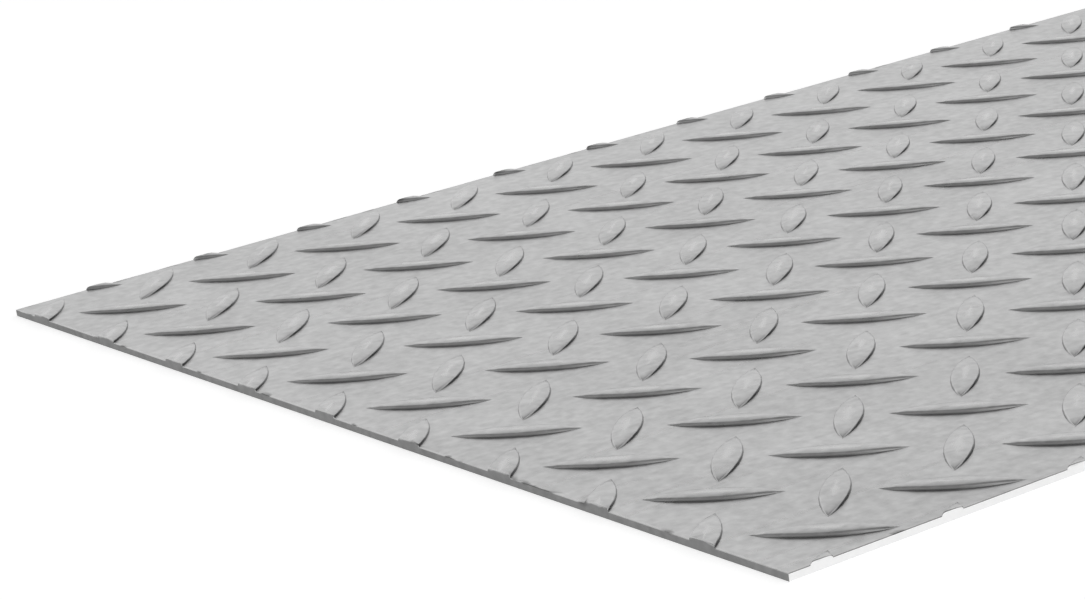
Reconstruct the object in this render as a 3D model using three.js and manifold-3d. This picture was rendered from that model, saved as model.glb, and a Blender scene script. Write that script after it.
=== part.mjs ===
// Checker steel plate: one rolled sheet with a flat underside and a tread of raised, lens-shaped lugs
// that lie in two crossing directions. The sheet is sheared square out of a longer and wider strip,
// so the tread runs on to its edges and the edges cut the lugs that they meet.
// Millimetres, +Z up. +X runs along the sheet, +Y across it, and the origin is on the floor under its middle.

import * as THREE from "three";
import { mergeVertices } from "three/addons/utils/BufferGeometryUtils.js";
import Module from "manifold-3d";

// The sheet: 24 in by 12 in, rolled 1/16 in thick between the lugs.
const SHEET_LENGTH = 609.6;
const SHEET_WIDTH = 304.8;
const BASE_THICKNESS = 1.6;

// One lug: a lens between two arcs, with a steep flank all round, and a crown that falls off to its two ends.
const LUG_LENGTH = 27.7;
const LUG_WIDTH = 6;
const LUG_HEIGHT = 0.8;
const LUG_END_HEIGHT = 0.3; // the crown's height at its two ends
const LUG_FLANK_RUN = 0.6; // how far the flank leans in between the sheet and the crown
const LUG_TURN = Math.PI / 4; // how far a lug is turned from the sheet's length, one way or the other

// The tread: rows and columns of lugs that lean one way, and between them lugs that lean the other way.
const COLUMN_PITCH = 30.68;
const ROW_PITCH = 33.15;
const FIRST_COLUMN_SETBACK = 17.7; // from the sheet's end at -X to its first column
const FIRST_ROW_SETBACK = 27.8; // from the sheet's edge at +Y to its first row
const CROSSING_STEP_ALONG = 15; // from a lug to the crossing lug beside it, along the sheet
const CROSSING_STEP_ACROSS = 18; // and across it, away from the edge at +Y

const ARC_STEPS = 3; // straight lengths in each arc of a lug
const LUG_ROOT = BASE_THICKNESS / 2; // how deep a lug reaches into the strip that it is fused with
const STRIP_MARGIN = LUG_LENGTH; // what the strip has beyond the sheet, all round
const SHEAR_CLEARANCE = 5; // how far the cut passes the sheet above and below
const MERGE_DISTANCE = 1e-4;

const STEEL = new THREE.MeshStandardMaterial({ color: 0xb8b9ba, roughness: 0.45, metalness: 0.9 });

const wasm = await Module();
wasm.setup();

function solidOf(geometry) {
  const bare = new THREE.BufferGeometry();
  bare.setAttribute("position", geometry.getAttribute("position"));
  bare.setIndex(geometry.getIndex());
  const merged = mergeVertices(bare, MERGE_DISTANCE);
  const mesh = new wasm.Mesh({
    numProp: 3,
    vertProperties: merged.getAttribute("position").array,
    triVerts: new Uint32Array(merged.getIndex().array),
  });
  return new wasm.Manifold(mesh);
}

function geometryOf(solid) {
  const mesh = solid.getMesh();
  const geometry = new THREE.BufferGeometry();
  geometry.setAttribute("position", new THREE.BufferAttribute(mesh.vertProperties, mesh.numProp));
  geometry.setIndex(new THREE.BufferAttribute(mesh.triVerts, 1));
  const faceted = geometry.toNonIndexed();
  faceted.computeVertexNormals();
  return faceted;
}

// The lens outline of a lug, anticlockwise and long in X, moved in from its foot by inset.
function lensOutline(inset) {
  const footRadius = (LUG_LENGTH ** 2 + LUG_WIDTH ** 2) / (4 * LUG_WIDTH);
  const centreOffset = footRadius - LUG_WIDTH / 2;
  const radius = footRadius - inset;
  const halfAngle = Math.acos(centreOffset / radius);
  const side = (centreY, middle) =>
    new THREE.EllipseCurve(0, centreY, radius, radius, middle - halfAngle, middle + halfAngle)
      .getPoints(ARC_STEPS)
      .slice(0, -1);
  return [...side(-centreOffset, Math.PI / 2), ...side(centreOffset, -Math.PI / 2)];
}

// A closed body through outlines of equal, even point count, from the lowest up. Each runs anticlockwise from
// one end, with the other end halfway round, and its ends are closed by strips across. heightAt gives a height.
function loft(sections) {
  const count = sections[0].outline.length;
  const positions = sections.flatMap(({ outline, heightAt }) =>
    outline.flatMap((p) => [p.x, p.y, heightAt(p)]),
  );
  const indices = [];
  for (let level = 0; level < sections.length - 1; level++) {
    for (let k = 0; k < count; k++) {
      const [low, lowNext] = [level * count + k, level * count + ((k + 1) % count)];
      indices.push(low, lowNext, lowNext + count, low, lowNext + count, low + count);
    }
  }
  const top = (sections.length - 1) * count;
  const close = (a, b, c) => indices.push(a, c, b, top + a, top + b, top + c);
  for (let k = 0; k < count / 2; k++) {
    const [near, nearNext] = [k, k + 1];
    const [far, farNext] = [count - k, count - k - 1];
    if (nearNext < farNext) close(near, nearNext, farNext);
    if (near > 0) close(near, farNext, far);
  }
  const geometry = new THREE.BufferGeometry();
  geometry.setAttribute("position", new THREE.Float32BufferAttribute(positions, 3));
  geometry.setIndex(indices);
  return geometry;
}

// One lug at the origin, long in X, with its foot at the height of the rolled surface.
function lugGeometry() {
  const foot = lensOutline(0);
  const crown = lensOutline(LUG_FLANK_RUN);
  const crownEnd = Math.max(...crown.map((p) => Math.abs(p.x)));
  const atEnd = (p) => Math.abs(p.x) > crownEnd - MERGE_DISTANCE;
  return loft([
    { outline: foot, heightAt: () => BASE_THICKNESS - LUG_ROOT },
    { outline: foot, heightAt: () => BASE_THICKNESS },
    { outline: crown, heightAt: (p) => BASE_THICKNESS + (atEnd(p) ? LUG_END_HEIGHT : LUG_HEIGHT) },
  ]);
}

// The centre and the turn of every lug that the sheet may reach.
function lugPlaces() {
  const reach = LUG_LENGTH / 2;
  const families = [
    { turn: -LUG_TURN, setbackX: FIRST_COLUMN_SETBACK, setbackY: FIRST_ROW_SETBACK },
    {
      turn: LUG_TURN,
      setbackX: FIRST_COLUMN_SETBACK + CROSSING_STEP_ALONG,
      setbackY: FIRST_ROW_SETBACK + CROSSING_STEP_ACROSS,
    },
  ];
  const stepsBefore = (setback, pitch) => Math.ceil((setback + reach) / pitch);
  const stepsAfter = (size, setback, pitch) => Math.ceil((size - setback + reach) / pitch);
  const places = [];
  for (const { turn, setbackX, setbackY } of families) {
    const firstColumn = -stepsBefore(setbackX, COLUMN_PITCH);
    const lastColumn = stepsAfter(SHEET_LENGTH, setbackX, COLUMN_PITCH);
    const firstRow = -stepsBefore(setbackY, ROW_PITCH);
    const lastRow = stepsAfter(SHEET_WIDTH, setbackY, ROW_PITCH);
    for (let column = firstColumn; column <= lastColumn; column++) {
      for (let row = firstRow; row <= lastRow; row++) {
        const x = setbackX - SHEET_LENGTH / 2 + column * COLUMN_PITCH;
        const y = SHEET_WIDTH / 2 - setbackY - row * ROW_PITCH;
        const reached = Math.abs(x) < SHEET_LENGTH / 2 + reach && Math.abs(y) < SHEET_WIDTH / 2 + reach;
        if (reached) places.push({ x, y, turn });
      }
    }
  }
  return places;
}

// The strip as it leaves the rolls: wider and longer than the sheet, with whole lugs.
function rolledStrip() {
  const slab = new THREE.BoxGeometry(
    SHEET_LENGTH + 2 * STRIP_MARGIN,
    SHEET_WIDTH + 2 * STRIP_MARGIN,
    BASE_THICKNESS,
  );
  slab.translate(0, 0, BASE_THICKNESS / 2);
  let strip = solidOf(slab);
  for (const { x, y, turn } of lugPlaces()) {
    strip = strip.add(solidOf(lugGeometry().rotateZ(turn).translate(x, y, 0)));
  }
  return strip;
}

// The sheet: what the shear cuts square out of the strip.
function shearedSheet() {
  const cut = new THREE.BoxGeometry(
    SHEET_LENGTH,
    SHEET_WIDTH,
    BASE_THICKNESS + LUG_HEIGHT + 2 * SHEAR_CLEARANCE,
  );
  cut.translate(0, 0, (BASE_THICKNESS + LUG_HEIGHT) / 2);
  return rolledStrip().intersect(solidOf(cut));
}

const plate = new THREE.Mesh(geometryOf(shearedSheet()), STEEL);
plate.name = "tread_plate";

const group = new THREE.Group();
group.add(plate);

export default group;
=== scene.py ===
"""Checker steel plate: the fine tread mesh, the finish of the steel, and a plain studio to show it in."""

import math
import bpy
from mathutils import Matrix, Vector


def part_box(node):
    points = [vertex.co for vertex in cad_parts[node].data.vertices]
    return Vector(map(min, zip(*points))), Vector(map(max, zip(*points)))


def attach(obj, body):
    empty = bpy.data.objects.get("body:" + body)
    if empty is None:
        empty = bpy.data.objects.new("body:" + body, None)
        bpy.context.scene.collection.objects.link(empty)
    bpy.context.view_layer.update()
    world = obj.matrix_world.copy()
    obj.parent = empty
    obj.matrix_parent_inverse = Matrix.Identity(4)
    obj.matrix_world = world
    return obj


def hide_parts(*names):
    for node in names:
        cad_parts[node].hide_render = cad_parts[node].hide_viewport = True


bl_info = {
    "name": "Checker Steel Plate",
    "version": (1, 0, 0),
    "blender": (4, 5, 0),
    "location": "View3D > Sidebar > Tread Plate",
    "description": "Builds a sheet of steel tread plate with its finish, and a plain studio around it",
    "category": "Add Mesh",
}

import bmesh
import bpy
from bpy.props import FloatProperty, FloatVectorProperty, IntProperty, PointerProperty
from mathutils import Matrix, Vector

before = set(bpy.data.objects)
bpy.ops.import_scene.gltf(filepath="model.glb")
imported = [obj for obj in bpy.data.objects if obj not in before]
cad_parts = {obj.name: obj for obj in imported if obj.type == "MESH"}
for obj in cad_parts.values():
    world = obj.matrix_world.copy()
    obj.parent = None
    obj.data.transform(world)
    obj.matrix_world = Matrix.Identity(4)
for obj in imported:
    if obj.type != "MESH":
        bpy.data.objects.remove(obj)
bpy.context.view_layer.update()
PLATE_NODE = "tread_plate"
SHEET_LOW, SHEET_HIGH = (Vector(corner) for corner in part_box(PLATE_NODE))

MM = 0.001
MERGE_DISTANCE = 1e-6
LUG_TURN = math.radians(45)
SHARP_ANGLE = math.radians(40)

# The places of the cut edges' steels among the sheet's materials, after the rolled steel. The ends take
# painted shade and the long edges painted light.
SHADED_END_SLOT = 1
LIT_EDGE_SLOT = 2

# The skin of the steel. Each noise has its number of blobs to the metre and its octaves.
NOISE_MIDDLE = 0.5
CLOUDS = (24, 3)
SPECKS = (420, 4)
STREAKS = (500, 5)
GRAIN = (1500, 2)
CLOUD_SHARE = 0.25  # the three shares make up 1
SPECK_SHARE = 0.45
STREAK_SHARE = 0.3
STREAK_GLOSS = 0.15  # how much the roughness differs from streak to streak
CUT_GRAIN = 4  # how many times deeper the grain is on a cut edge than on the rolled faces

# How streaks are drawn out along X, Y and Z. The smaller the number, the longer they are.
ROLLED_STRETCH = (0.015, 1, 1)
SHEARED_STRETCH = (1, 1, 0.1)
SLIT_STRETCH = (0.05, 1, 1)

# Wear and painted shade. A span holds where a mask begins and where it is whole, as values of a noise or,
# for the painted shade on the flanks, of how far the skin faces up, from 1 on a level to 0 on a wall.
FRAY = (220, 3)
FRAY_SPAN = (0.3, 0.7)
FRAY_REACH = (0.2, 1.8)  # the least and the most that the wear goes in, as shares of its reach
DENTS = (130, 1)
DENT_SPAN = (0.58, 0.66)
FLANK_SHADE_SPAN = (0.75, 0.35)

# The studio's walls, in degrees. Headings run counterclockwise from +X. A panel has its middle and half its
# width, and a fade has the two elevations that it runs between.
FRONT_PANEL = (-103, 25)
LEFT_FLAG = (192, 40)
RIGHT_FLAG = (-14, 36)
HORIZON_STRIP = (-75, 52)
PANEL_EDGE = 10  # how wide a panel's soft edge is
STRIP_FADE = (7, 13)
FLAG_FADE = (16, 24)
WALL_FADE = (28, 50)

# The floor and the lamp, in metres.
FLOOR_RADIUS = 6
FLOOR_SIDES = 96
KEY_PLACE = (-0.377, -1.407, 1.058)
KEY_SIZE = (1.1, 0.9)

SENSOR_WIDTH = 36  # in millimetres, like the lens
WHITE = (1, 1, 1, 1)


# ---------------------------------------------------------------------------
# Settings
# ---------------------------------------------------------------------------


def length_property(name, description, default):
    """A size of the sheet, shown in the scene's own units."""
    return FloatProperty(
        name=name,
        description=description,
        default=default,
        min=0,
        unit="LENGTH",
        precision=5,
    )


def colour_property(name, description, level):
    """A neutral colour that the user can change."""
    return FloatVectorProperty(
        name=name,
        description=description,
        subtype="COLOR",
        size=3,
        min=0,
        max=1,
        default=(level, level, level),
    )


def level_property(name, description, default):
    """A brightness in the studio, where 1 is white."""
    return FloatProperty(name=name, description=description, default=default, min=0)


def share_property(name, description, default):
    """A share from 0 to 1."""
    return FloatProperty(
        name=name,
        description=description,
        default=default,
        min=0,
        max=1,
        subtype="FACTOR",
    )


def spread_property(name, description, default):
    """How uneven the tone of a skin is, where 0 is even."""
    return FloatProperty(name=name, description=description, default=default, min=0)


class TreadPlateSettings(bpy.types.PropertyGroup):
    """Sizes of the sheet's tread and edges"""

    base_thickness: length_property(
        "Base thickness", "Rolled thickness of the sheet between its lugs", 1.6 * MM
    )
    lug_length: length_property("Lug length", "Length of a lug at its foot", 27.7 * MM)
    lug_width: length_property("Lug width", "Width of a lug at its foot", 6 * MM)
    crown_rise: length_property(
        "Crown rise", "How far the middle of a lug's crown stands above the crown's edge", 0.1 * MM
    )
    shoulder_radius: length_property(
        "Shoulder radius", "Radius of the rounded edge between a lug's flank and its crown", 0.5 * MM
    )
    flank_angle: FloatProperty(
        name="Flank angle",
        description="Steepest slope of a lug's flank",
        default=math.radians(75),
        subtype="ANGLE",
    )
    end_fullness: FloatProperty(
        name="End fullness",
        description="How long a lug keeps its height towards its two ends, from 2 for an even arch",
        default=4,
        min=2,
    )
    arc_steps: IntProperty(
        name="Arc steps",
        description="Straight lengths in each of the two arcs of a lug",
        default=8,
        min=2,
        max=16,
    )
    column_pitch: length_property("Column pitch", "Distance between like lugs along the sheet", 30.68 * MM)
    row_pitch: length_property("Row pitch", "Distance between like lugs across the sheet", 33.15 * MM)
    first_column_setback: length_property(
        "First column setback", "From the sheet's end at -X to its first column of lugs", 17.7 * MM
    )
    first_row_setback: length_property(
        "First row setback", "From the sheet's edge at +Y to its first row of lugs", 27.8 * MM
    )
    crossing_step_along: length_property(
        "Crossing step along", "From a lug to the crossing lug beside it, along the sheet", 15 * MM
    )
    crossing_step_across: length_property(
        "Crossing step across", "From a lug to the crossing lug beside it, across the sheet", 18 * MM
    )
    rollover: length_property(
        "Shear rollover", "How far the shear draws down the sheet's upper arris", 0.12 * MM
    )
    fracture_top: length_property(
        "Fracture line", "Height at which the shear's clean cut ends and the torn edge begins", 0.9 * MM
    )
    fracture_lean: length_property(
        "Fracture lean", "How far the torn edge leans in towards the underside", 0.05 * MM
    )


class SteelSettings(bpy.types.PropertyGroup):
    """Colours and finish of the steel"""

    rolled_colour: colour_property("Rolled steel", "Colour of the two rolled faces", 0.495)
    worn_colour: colour_property("Worn steel", "Colour of rubbed edges and crowns", 0.54)
    # Painted shade and light: the ends are dark and the long edges bright in colour, for how the light falls
    # on them.
    sheared_end_shade_colour: colour_property("Sheared end", "Colour of the two sheared ends", 0.24)
    slit_edge_light_colour: colour_property("Slit edge", "Colour of the two long edges", 0.86)
    # Painted shade: the colour that the steep flanks are darkened to.
    flank_shade_colour: colour_property("Lug flanks", "Colour of the steep flanks, where scale stays", 0.21)
    # Painted shade: nicks are only this dark colour, standing in for the shade in dents that the mesh does
    # not have.
    nick_shade_colour: colour_property("Nicks", "Colour of the nicks along the edges", 0.12)
    rolled_roughness: share_property("Rolled roughness", "Roughness of the rolled faces", 0.3)
    edge_roughness: share_property("Edge roughness", "Roughness of the cut edges", 0.5)
    worn_gloss: share_property("Worn gloss", "How much smoother the steel is where it is rubbed", 0.08)
    rolled_spread: spread_property("Rolled spread", "How much the rolled faces vary in tone", 1.4)
    sheared_spread: spread_property("Sheared spread", "How much the sheared ends vary in tone", 1.2)
    slit_spread: spread_property("Slit spread", "How much the slit edges vary in tone", 0.15)
    grain_height: length_property("Grain height", "Depth of the fine grain left by the rolls", 0.003 * MM)
    edge_wear_reach: length_property("Edge wear", "How far the wear reaches in from an edge", 0.5 * MM)
    crown_wear_reach: length_property("Crown wear", "How far the wear reaches down from a crown", 0.05 * MM)
    nick_reach: length_property("Nick reach", "How far the nicks reach in from an edge", 1.2 * MM)


class StudioSettings(bpy.types.PropertyGroup):
    """The camera, the walls, the floor and the lamp"""

    camera_location: FloatVectorProperty(
        name="Camera location",
        description="Where the camera stands",
        subtype="TRANSLATION",
        default=(-0.65269, -0.62509, 0.21683),
    )
    camera_target: FloatVectorProperty(
        name="Camera target",
        description="The point of the tread that the camera looks at",
        subtype="TRANSLATION",
        default=(-0.22635, 0.03704, 0.0016),
    )
    camera_roll: FloatProperty(
        name="Camera roll",
        description="How far the camera is turned about its line of sight",
        subtype="ANGLE",
        default=math.radians(-7.435),
    )
    lens: FloatProperty(
        name="Lens",
        description="Focal length of the camera in millimetres",
        default=117.53,
        unit="CAMERA",
    )
    wall_level: level_property("Walls", "Brightness of the studio's walls", 0.95)
    front_level: level_property("Front panel", "Brightness of the panel behind the camera", 1.1)
    flag_level: level_property("Flags", "Brightness of the dark flags to the left and right", 0.06)
    strip_level: level_property("Horizon strip", "Brightness of the low strip round the front", 1.6)
    ceiling_level: level_property("Ceiling", "Brightness above the walls", 0.32)
    floor_colour: colour_property("Floor", "Colour of the floor", 0.8)
    floor_glow: level_property("Floor glow", "What the floor adds to its shade to come out white", 0.57)
    key_power: FloatProperty(
        name="Key lamp",
        description="Power of the lamp beside the camera, in watts",
        default=1.9,
        min=0,
        unit="POWER",
    )


# ---------------------------------------------------------------------------
# Mesh
# ---------------------------------------------------------------------------


def flank_profile(settings, rise):
    """The runs and rises from a lug's foot to its crown: a straight flank and a round shoulder."""
    angle, radius = settings.flank_angle, settings.shoulder_radius
    half = angle / 2
    straight = (rise - radius * (1 - math.cos(angle))) / math.sin(angle)
    return [
        (straight * math.cos(angle), straight * math.sin(angle)),
        (radius * (math.sin(angle) - math.sin(half)), radius * (math.cos(half) - math.cos(angle))),
        (radius * math.sin(half), radius * (1 - math.cos(half))),
    ]


def lug_template(settings, height):
    """One lug in a bmesh of its own: long in X, arched from end to end, its foot at z = 0 and open."""
    bm = bmesh.new()
    length, width = settings.lug_length, settings.lug_width
    radius = (length**2 + width**2) / (4 * width)
    tip = bm.verts.new((length / 2, 0, 0))
    bmesh.ops.spin(
        bm,
        geom=[tip],
        cent=(0, width / 2 - radius, 0),
        axis=(0, 0, 1),
        angle=2 * math.asin(length / 2 / radius),
        steps=settings.arc_steps,
    )
    bmesh.ops.mirror(bm, geom=bm.verts[:] + bm.edges[:], axis="Y", merge_dist=MERGE_DISTANCE)
    bmesh.ops.remove_doubles(bm, verts=bm.verts, dist=MERGE_DISTANCE)
    crown = bmesh.ops.contextual_create(bm, geom=bm.edges)["faces"][0]
    if crown.normal.z < 0:
        bmesh.ops.reverse_faces(bm, faces=[crown])
    for run, rise in flank_profile(settings, height - settings.crown_rise):
        bmesh.ops.inset_region(
            bm,
            faces=[crown],
            thickness=run,
            depth=rise,
            use_even_offset=True,
            use_boundary=True,
        )
    dome_crown(bm, crown, settings.crown_rise)
    for vert in bm.verts:
        vert.co.z *= 1 - (2 * abs(vert.co.x) / length) ** settings.end_fullness
    return bm


def dome_crown(bm, crown, rise):
    """Splits a lug's crown into strips across it and halves along it, and lifts the ridge between."""
    rim = set(crown.verts)
    lower = sorted((v for v in rim if v.co.y < -MERGE_DISTANCE), key=lambda v: v.co.x)
    upper = sorted((v for v in rim if v.co.y > MERGE_DISTANCE), key=lambda v: v.co.x)
    half_length = max(v.co.x for v in rim)
    for pair in zip(lower, upper):
        bmesh.ops.connect_verts(bm, verts=pair)
    strips = [face for face in bm.faces if rim.issuperset(face.verts)]
    sides = [edge for edge in bm.edges if rim.issuperset(edge.verts)]
    halved = bmesh.ops.bisect_plane(
        bm,
        geom=sides + strips,
        dist=MERGE_DISTANCE,
        plane_co=(0, 0, 0),
        plane_no=(0, 1, 0),
    )
    for vert in halved["geom_cut"]:
        if isinstance(vert, bmesh.types.BMVert):
            vert.co.z += rise * (1 - (vert.co.x / half_length) ** 2)


def lug_places(settings, low, high):
    """The centre and turn of every lug that the sheet between the corners low and high may reach."""
    reach = settings.lug_length / 2
    along, across = settings.column_pitch, settings.row_pitch
    first_x = low.x + settings.first_column_setback
    first_y = high.y - settings.first_row_setback
    crossing_x = first_x + settings.crossing_step_along
    crossing_y = first_y - settings.crossing_step_across
    for turn, start_x, start_y in ((-LUG_TURN, first_x, first_y), (LUG_TURN, crossing_x, crossing_y)):
        first_column = math.floor((low.x - reach - start_x) / along)
        last_column = math.ceil((high.x + reach - start_x) / along)
        first_row = math.floor((start_y - high.y - reach) / across)
        last_row = math.ceil((start_y - low.y + reach) / across)
        for column in range(first_column, last_column + 1):
            for row in range(first_row, last_row + 1):
                yield start_x + column * along, start_y - row * across, turn


def rolled_face(settings, low, high):
    """The strip's upper face with whole lugs, larger than the sheet all round."""
    bm = bmesh.new()
    template = lug_template(settings, high.z - settings.base_thickness)
    mesh = bpy.data.meshes.new("lug_template")
    for x, y, turn in lug_places(settings, low, high):
        copy = template.copy()
        copy.transform(Matrix.Translation((x, y, settings.base_thickness)) @ Matrix.Rotation(turn, 4, "Z"))
        copy.to_mesh(mesh)
        copy.free()
        bm.from_mesh(mesh)
    template.free()
    bpy.data.meshes.remove(mesh)
    margin = 2 * settings.row_pitch
    strip = high - low + Vector((2 * margin, 2 * margin, 0))
    # A square with sides of 1, drawn out to the strip's length and width.
    outline = bmesh.ops.create_grid(bm, x_segments=1, y_segments=1, size=0.5)["verts"]
    bmesh.ops.scale(bm, vec=(strip.x, strip.y, 1), verts=outline)
    bmesh.ops.translate(bm, vec=(0, 0, settings.base_thickness), verts=outline)
    bmesh.ops.delete(bm, geom=outline[0].link_faces[:], context="FACES_ONLY")
    open_edges = [edge for edge in bm.edges if not edge.link_faces or edge.is_boundary]
    bmesh.ops.triangle_fill(bm, edges=open_edges, use_beauty=True, normal=(0, 0, 1))
    return bm


def shear(bm, low, high):
    """Cuts the strip along the sheet's four sides."""
    for point, outward in ((low, (-1, 0, 0)), (low, (0, -1, 0)), (high, (1, 0, 0)), (high, (0, 1, 0))):
        bmesh.ops.bisect_plane(
            bm,
            geom=bm.verts[:] + bm.edges[:] + bm.faces[:],
            dist=MERGE_DISTANCE,
            plane_co=point,
            plane_no=outward,
            clear_outer=True,
        )


def draw_edge(bm, rim, size, step):
    """Draws the sheet's edge on from its rim, out by step.x and step.y and up by step.z."""
    drawn = bmesh.ops.extrude_edge_only(bm, edges=rim)["geom"]
    verts = [g for g in drawn if isinstance(g, bmesh.types.BMVert)]
    faces = [g for g in drawn if isinstance(g, bmesh.types.BMFace)]
    rim = [g for g in drawn if isinstance(g, bmesh.types.BMEdge) and g.is_boundary]
    grow = ((size.x + 2 * step.x) / size.x, (size.y + 2 * step.y) / size.y, 1)
    bmesh.ops.scale(bm, vec=grow, verts=verts)
    bmesh.ops.translate(bm, vec=(0, 0, step.z), verts=verts)
    return rim, verts, faces


def level_rim(bm, verts, height):
    """Brings the points of a rim to one height."""
    bmesh.ops.scale(bm, vec=(1, 1, 0), verts=verts)
    bmesh.ops.translate(bm, vec=(0, 0, height), verts=verts)


def tread_plate_mesh(settings):
    """The whole sheet: the rolled face, the drawn-down arris, the cut edges and the plain underside."""
    low, high = SHEET_LOW, SHEET_HIGH
    size = high - low
    roll, lean = settings.rollover, settings.fracture_lean
    bm = rolled_face(settings, low, high)
    shear(bm, low + Vector((roll, roll, 0)), high - Vector((roll, roll, 0)))
    rim = [edge for edge in bm.edges if edge.is_boundary]
    inner = size - Vector((2 * roll, 2 * roll, 0))
    rim, _, _ = draw_edge(bm, rim, inner, Vector((roll, roll, -roll)))
    rim, verts, clean_cut = draw_edge(bm, rim, size, Vector((0, 0, 0)))
    level_rim(bm, verts, settings.fracture_top)
    rim, verts, torn = draw_edge(bm, rim, size, Vector((-lean, -lean, 0)))
    level_rim(bm, verts, 0)
    bmesh.ops.contextual_create(bm, geom=rim)
    bmesh.ops.recalc_face_normals(bm, faces=bm.faces)
    for face in bm.faces:
        face.smooth = True
    # Painted shade and light: the ends take the dark steel, the long edges the bright one.
    for face in clean_cut + torn:
        face.material_index = SHADED_END_SLOT if abs(face.normal.x) > abs(face.normal.y) else LIT_EDGE_SLOT
    for edge in bm.edges:
        edge.smooth = edge.calc_face_angle() < SHARP_ANGLE
    mesh = bpy.data.meshes.new("tread_plate_fine")
    bm.to_mesh(mesh)
    bm.free()
    return mesh


# ---------------------------------------------------------------------------
# Nodes
# ---------------------------------------------------------------------------


def add_node(tree, kind, inputs=None, **settings):
    """Adds a node. Each of its inputs takes a value, or a link from another node's output."""
    node = tree.nodes.new(kind)
    for name, value in settings.items():
        setattr(node, name, value)
    for socket, value in (inputs or {}).items():
        if isinstance(value, bpy.types.NodeSocket):
            tree.links.new(value, node.inputs[socket])
        else:
            node.inputs[socket].default_value = value
    return node


def calculate(tree, operation, *values):
    """The result of one sum, whose terms are values or outputs."""
    return add_node(tree, "ShaderNodeMath", dict(enumerate(values)), operation=operation).outputs["Value"]


def calculate_vector(tree, operation, *values):
    """The result of one sum on vectors."""
    inputs = dict(enumerate(values))
    return add_node(tree, "ShaderNodeVectorMath", inputs, operation=operation).outputs["Vector"]


def ease(tree, value, start, end, low=0.0, high=1.0):
    """Goes from low, where the value is at start, to high, where it is at end, with soft ends."""
    inputs = {"Value": value, "From Min": start, "From Max": end, "To Min": low, "To Max": high}
    return add_node(tree, "ShaderNodeMapRange", inputs, interpolation_type="SMOOTHSTEP").outputs["Result"]


def blend(tree, kind, factor, a, b):
    """A mix of two values or two colours."""
    inputs = {"Factor": factor, "A": a, "B": b}
    return add_node(tree, "ShaderNodeMix", inputs, data_type=kind).outputs["Result"]


def noise(tree, vector, scale, detail):
    """Noise about NOISE_MIDDLE, with scale in blobs to the metre."""
    inputs = {"Vector": vector, "Scale": scale, "Detail": detail}
    return add_node(tree, "ShaderNodeTexNoise", inputs).outputs["Fac"]


def new_group(name, inputs, outputs):
    """An empty node group with the named sockets, and what its inside gets and gives."""
    group = bpy.data.node_groups.new(name, "ShaderNodeTree")
    for socket, kind in inputs.items():
        group.interface.new_socket(socket, in_out="INPUT", socket_type=kind)
    for socket, kind in outputs.items():
        group.interface.new_socket(socket, in_out="OUTPUT", socket_type=kind)
    return group, group.nodes.new("NodeGroupInput").outputs, group.nodes.new("NodeGroupOutput").inputs


def steel_grain_group():
    """Steel's uneven skin: broad clouds, fine specks and streaks along the way that it was rolled or cut."""
    inputs = {
        "Vector": "NodeSocketVector",
        "Stretch": "NodeSocketVector",
        "Color": "NodeSocketColor",
        "Tone Spread": "NodeSocketFloat",
        "Roughness": "NodeSocketFloat",
        "Grain Height": "NodeSocketFloat",
    }
    outputs = {"Color": "NodeSocketColor", "Roughness": "NodeSocketFloat", "Normal": "NodeSocketVector"}
    group, given, result = new_group("steel_grain", inputs, outputs)
    place = given["Vector"]
    streaks = noise(group, calculate_vector(group, "MULTIPLY", place, given["Stretch"]), *STREAKS)
    specks = calculate(group, "MULTIPLY", noise(group, place, *SPECKS), SPECK_SHARE)
    patches = calculate(group, "MULTIPLY_ADD", noise(group, place, *CLOUDS), CLOUD_SHARE, specks)
    uneven = calculate(group, "MULTIPLY_ADD", streaks, STREAK_SHARE, patches)
    tone_change = calculate(group, "SUBTRACT", uneven, NOISE_MIDDLE)
    tone = calculate(group, "MULTIPLY_ADD", tone_change, given["Tone Spread"], 1.0)
    inputs = {"Color": given["Color"], "Value": tone}
    color = add_node(group, "ShaderNodeHueSaturation", inputs).outputs["Color"]
    gloss_change = calculate(group, "SUBTRACT", streaks, NOISE_MIDDLE)
    rough = calculate(group, "MULTIPLY_ADD", gloss_change, STREAK_GLOSS, given["Roughness"])
    inputs = {"Height": noise(group, place, *GRAIN), "Distance": given["Grain Height"]}
    normal = add_node(group, "ShaderNodeBump", inputs).outputs["Normal"]
    group.links.new(color, result["Color"])
    group.links.new(rough, result["Roughness"])
    group.links.new(normal, result["Normal"])
    return group


def edge_wear_group():
    """Masks along an edge, from the distance to it: where it is rubbed bright, and where it is nicked, which
    is drawn as painted shade.
    """
    inputs = {
        "Vector": "NodeSocketVector",
        "Distance": "NodeSocketFloat",
        "Wear Reach": "NodeSocketFloat",
        "Nick Reach": "NodeSocketFloat",
    }
    outputs = {"Wear": "NodeSocketFloat", "Nicks": "NodeSocketFloat"}
    group, given, result = new_group("edge_wear", inputs, outputs)
    place, distance = given["Vector"], given["Distance"]
    fray = ease(group, noise(group, place, *FRAY), *FRAY_SPAN, *FRAY_REACH)
    rubbed = ease(group, distance, calculate(group, "MULTIPLY", given["Wear Reach"], fray), 0.0)
    nicked = ease(group, distance, calculate(group, "MULTIPLY", given["Nick Reach"], fray), 0.0)
    dents = ease(group, noise(group, place, *DENTS), *DENT_SPAN)
    group.links.new(rubbed, result["Wear"])
    group.links.new(calculate(group, "MULTIPLY", nicked, dents), result["Nicks"])
    return group


# ---------------------------------------------------------------------------
# Steel
# ---------------------------------------------------------------------------


def bare_steel(name):
    """A metal material, and its node tree, its shader and its coordinates on the sheet."""
    material = bpy.data.materials.new(name)
    material.use_nodes = True
    tree = material.node_tree
    shader = tree.nodes["Principled BSDF"]
    shader.inputs["Metallic"].default_value = 1.0
    return material, tree, shader, add_node(tree, "ShaderNodeTexCoord").outputs


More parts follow.
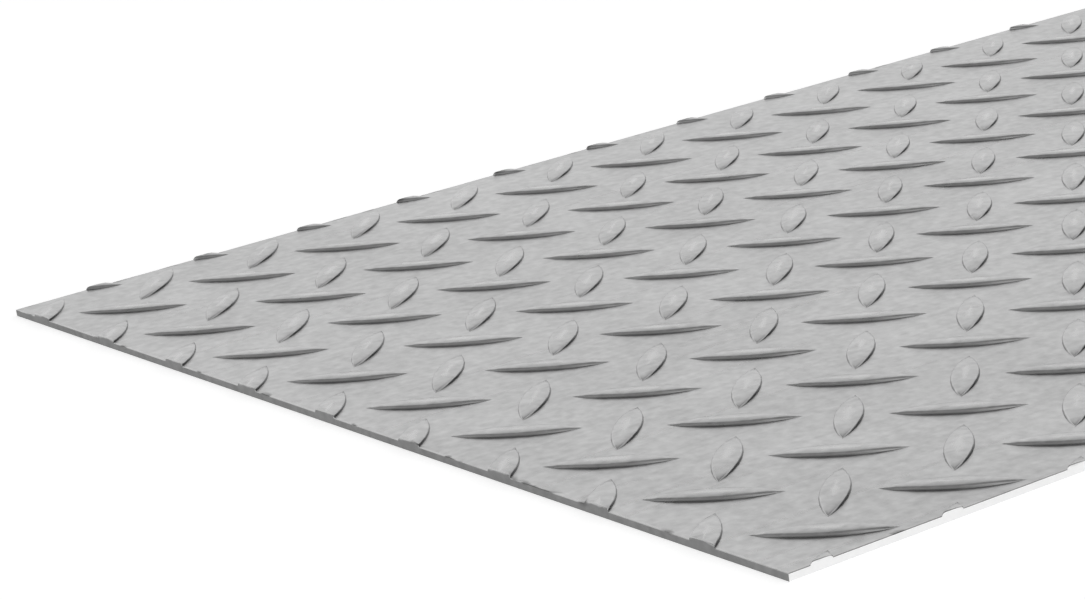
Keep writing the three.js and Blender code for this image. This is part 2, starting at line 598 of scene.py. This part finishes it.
def finish_steel(steel, tree, shader, skin, color, worn, nicks):
    """Lays the wear, and the nicks in painted shade, over the steel's skin."""
    color = blend(tree, "RGBA", worn, color, (*steel.worn_colour, 1))
    # Painted shade in the nicks.
    color = blend(tree, "RGBA", nicks, color, (*steel.nick_shade_colour, 1))
    rough = calculate(tree, "MULTIPLY_ADD", worn, -steel.worn_gloss, skin["Roughness"])
    tree.links.new(color, shader.inputs["Base Color"])
    tree.links.new(rough, shader.inputs["Roughness"])
    tree.links.new(skin["Normal"], shader.inputs["Normal"])


def skin_of(tree, grain, place, stretch, colour, spread, roughness, height):
    """The outputs of a steel_grain node with these values."""
    inputs = {
        "Vector": place,
        "Stretch": stretch,
        "Color": (*colour, 1),
        "Tone Spread": spread,
        "Roughness": roughness,
        "Grain Height": height,
    }
    return add_node(tree, "ShaderNodeGroup", inputs, node_tree=grain).outputs


def wear_of(tree, wear, place, distance, wear_reach, nick_reach):
    """The outputs of an edge_wear node with these values."""
    inputs = {"Vector": place, "Distance": distance, "Wear Reach": wear_reach, "Nick Reach": nick_reach}
    return add_node(tree, "ShaderNodeGroup", inputs, node_tree=wear).outputs


def rolled_steel(steel, grain, wear):
    """The two rolled faces, with painted shade on the steep flanks, and rubbed along the edges and on the
    crowns.
    """
    material, tree, shader, coordinates = bare_steel("rolled_steel")
    place = coordinates["Object"]
    skin = skin_of(
        tree,
        grain,
        place,
        ROLLED_STRETCH,
        steel.rolled_colour,
        steel.rolled_spread,
        steel.rolled_roughness,
        steel.grain_height,
    )
    axes = add_node(tree, "ShaderNodeSeparateXYZ", {"Vector": place}).outputs
    to_end = calculate(tree, "SUBTRACT", SHEET_HIGH.x, calculate(tree, "ABSOLUTE", axes["X"]))
    to_side = calculate(tree, "SUBTRACT", SHEET_HIGH.y, calculate(tree, "ABSOLUTE", axes["Y"]))
    to_edge = calculate(tree, "MINIMUM", to_end, to_side)
    to_crown = calculate(tree, "SUBTRACT", SHEET_HIGH.z, axes["Z"])
    edge = wear_of(tree, wear, place, to_edge, steel.edge_wear_reach, steel.nick_reach)
    crown = wear_of(tree, wear, place, to_crown, steel.crown_wear_reach, 0)
    worn = calculate(tree, "MAXIMUM", edge["Wear"], crown["Wear"])
    # Painted shade: the less the skin faces up, the darker its colour, so the steep flanks come out dark.
    upward = add_node(tree, "ShaderNodeSeparateXYZ", {"Vector": coordinates["Normal"]}).outputs["Z"]
    flank_shade_mask = ease(tree, upward, *FLANK_SHADE_SPAN)
    color = blend(tree, "RGBA", flank_shade_mask, skin["Color"], (*steel.flank_shade_colour, 1))
    finish_steel(steel, tree, shader, skin, color, worn, edge["Nicks"])
    return material


def cut_steel(steel, grain, wear, name, colour, stretch, spread):
    """A cut edge, with streaks along the way that it was cut, and rubbed along its upper arris. Its colour
    paints shade on the two ends and light on the two long edges.
    """
    material, tree, shader, coordinates = bare_steel(name)
    place = coordinates["Object"]
    height = CUT_GRAIN * steel.grain_height
    skin = skin_of(tree, grain, place, stretch, colour, spread, steel.edge_roughness, height)
    up = add_node(tree, "ShaderNodeSeparateXYZ", {"Vector": place}).outputs["Z"]
    below_arris = calculate(tree, "SUBTRACT", SHEET_HIGH.z, up)
    arris = wear_of(tree, wear, place, below_arris, steel.edge_wear_reach, steel.nick_reach)
    finish_steel(steel, tree, shader, skin, skin["Color"], arris["Wear"], arris["Nicks"])
    return material


def steel_materials(steel):
    """The materials of the rolled faces, the sheared ends in painted shade and the slit long edges in
    painted light, in that order.
    """
    grain, wear = steel_grain_group(), edge_wear_group()
    cuts = (
        ("sheared_end_painted_shade", steel.sheared_end_shade_colour, SHEARED_STRETCH, steel.sheared_spread),
        ("slit_edge_painted_light", steel.slit_edge_light_colour, SLIT_STRETCH, steel.slit_spread),
    )
    return [rolled_steel(steel, grain, wear)] + [cut_steel(steel, grain, wear, *cut) for cut in cuts]


class MESH_OT_tread_plate(bpy.types.Operator):
    """Build the sheet of tread plate"""

    bl_idname = "mesh.tread_plate"
    bl_label = "Tread plate"

    def execute(self, context):
        scene = context.scene
        mesh = tread_plate_mesh(scene.tread_plate)
        for material in steel_materials(scene.plate_steel):
            mesh.materials.append(material)
        plate = bpy.data.objects.new("tread_plate_fine", mesh)
        scene.collection.objects.link(plate)
        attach(plate, "root")
        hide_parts(PLATE_NODE)
        return {"FINISHED"}


# ---------------------------------------------------------------------------
# Studio
# ---------------------------------------------------------------------------


def floor_material(studio):
    """White to the camera and in reflections, and still shaded by what stands on it."""
    material = bpy.data.materials.new("studio_floor")
    material.use_nodes = True
    tree = material.node_tree
    shader = tree.nodes["Principled BSDF"]
    shader.inputs["Base Color"].default_value = (*studio.floor_colour, 1)
    shader.inputs["Roughness"].default_value = 1.0
    shader.inputs["Specular IOR Level"].default_value = 0.0
    shader.inputs["Emission Color"].default_value = WHITE
    path = add_node(tree, "ShaderNodeLightPath").outputs
    seen = calculate(tree, "MAXIMUM", path["Is Camera Ray"], path["Is Glossy Ray"])
    glow = calculate(tree, "MULTIPLY", seen, studio.floor_glow)
    tree.links.new(glow, shader.inputs["Emission Strength"])
    return material


def studio_floor(scene, studio):
    """A round floor, far wider than the sheet."""
    bm = bmesh.new()
    bmesh.ops.create_circle(bm, cap_ends=True, segments=FLOOR_SIDES, radius=FLOOR_RADIUS)
    mesh = bpy.data.meshes.new("studio_floor")
    bm.to_mesh(mesh)
    bm.free()
    mesh.materials.append(floor_material(studio))
    floor = bpy.data.objects.new("studio_floor", mesh)
    scene.collection.objects.link(floor)


def panel_mask(tree, heading, panel):
    """1 where the heading is on the panel, and 0 beside it."""
    middle, half_width = (math.radians(degrees) for degrees in panel)
    edge = math.radians(PANEL_EDGE) / 2
    towards = (math.cos(middle), math.sin(middle), 0)
    inputs = {0: heading, 1: towards}
    facing = add_node(tree, "ShaderNodeVectorMath", inputs, operation="DOT_PRODUCT").outputs["Value"]
    return ease(tree, facing, math.cos(half_width + edge), math.cos(half_width - edge))


def studio_world(scene, studio):
    """Pale walls with a panel, two dark flags and a low bright strip, under a darker ceiling."""
    world = bpy.data.worlds.new("studio")
    world.use_nodes = True
    scene.world = world
    tree = world.node_tree
    direction = add_node(tree, "ShaderNodeTexCoord").outputs["Generated"]
    up = add_node(tree, "ShaderNodeSeparateXYZ", {"Vector": direction}).outputs["Z"]
    heading = calculate_vector(tree, "NORMALIZE", calculate_vector(tree, "MULTIPLY", direction, (1, 1, 0)))
    front = panel_mask(tree, heading, FRONT_PANEL)
    walls = blend(tree, "FLOAT", front, studio.wall_level, studio.front_level)
    flagged = walls
    for flag in (LEFT_FLAG, RIGHT_FLAG):
        flagged = blend(tree, "FLOAT", panel_mask(tree, heading, flag), flagged, studio.flag_level)
    light = blend(tree, "FLOAT", panel_mask(tree, heading, HORIZON_STRIP), flagged, studio.strip_level)
    for fade, above in ((STRIP_FADE, flagged), (FLAG_FADE, walls), (WALL_FADE, studio.ceiling_level)):
        start, end = (math.sin(math.radians(elevation)) for elevation in fade)
        light = ease(tree, up, start, end, light, above)
    seen = add_node(tree, "ShaderNodeLightPath").outputs["Is Camera Ray"]
    background = tree.nodes["Background"].inputs
    background["Color"].default_value = WHITE
    tree.links.new(blend(tree, "FLOAT", seen, light, 1.0), background["Strength"])


def look_at(target, location, roll=0):
    """The turn of a lamp or camera that looks from the location at the target."""
    direction = Vector(target) - Vector(location)
    return (direction.to_track_quat("-Z", "Y").to_matrix() @ Matrix.Rotation(roll, 3, "Z")).to_euler()


def key_lamp(scene, studio):
    """A soft lamp beside the camera."""
    data = bpy.data.lights.new("key", "AREA")
    data.shape = "RECTANGLE"
    data.size, data.size_y = KEY_SIZE
    data.energy = studio.key_power
    lamp = bpy.data.objects.new("key", data)
    lamp.location = KEY_PLACE
    lamp.rotation_euler = look_at((0, 0, 0), KEY_PLACE)
    scene.collection.objects.link(lamp)


def plate_camera(scene, studio):
    """A camera low over one corner of the sheet."""
    data = bpy.data.cameras.new("camera")
    data.lens = studio.lens
    data.sensor_width = SENSOR_WIDTH
    camera = bpy.data.objects.new("camera", data)
    camera.location = studio.camera_location
    camera.rotation_euler = look_at(studio.camera_target, studio.camera_location, studio.camera_roll)
    scene.collection.objects.link(camera)
    scene.camera = camera


class SCENE_OT_plate_studio(bpy.types.Operator):
    """Build the floor, the walls, the lamp and the camera"""

    bl_idname = "scene.plate_studio"
    bl_label = "Studio"

    def execute(self, context):
        scene = context.scene
        studio = scene.plate_studio
        studio_floor(scene, studio)
        studio_world(scene, studio)
        key_lamp(scene, studio)
        plate_camera(scene, studio)
        scene.view_settings.view_transform = "Standard"
        return {"FINISHED"}


class VIEW3D_PT_tread_plate(bpy.types.Panel):
    """Lists the tread plate's operators"""

    bl_label = "Tread Plate"
    bl_space_type = "VIEW_3D"
    bl_region_type = "UI"
    bl_category = "Tread Plate"

    def draw(self, context):
        for operator in OPERATORS:
            self.layout.operator(operator.bl_idname)


SETTINGS = {
    "tread_plate": TreadPlateSettings,
    "plate_steel": SteelSettings,
    "plate_studio": StudioSettings,
}
OPERATORS = (MESH_OT_tread_plate, SCENE_OT_plate_studio)
CLASSES = (*SETTINGS.values(), *OPERATORS, VIEW3D_PT_tread_plate)


def register():
    for cls in CLASSES:
        bpy.utils.register_class(cls)
    for name, settings in SETTINGS.items():
        setattr(bpy.types.Scene, name, PointerProperty(type=settings))


def unregister():
    for name in SETTINGS:
        delattr(bpy.types.Scene, name)
    for cls in reversed(CLASSES):
        bpy.utils.unregister_class(cls)


def main():
    register()
    bpy.ops.mesh.tread_plate()
    bpy.ops.scene.plate_studio()


if __name__ == "__main__":
    main()
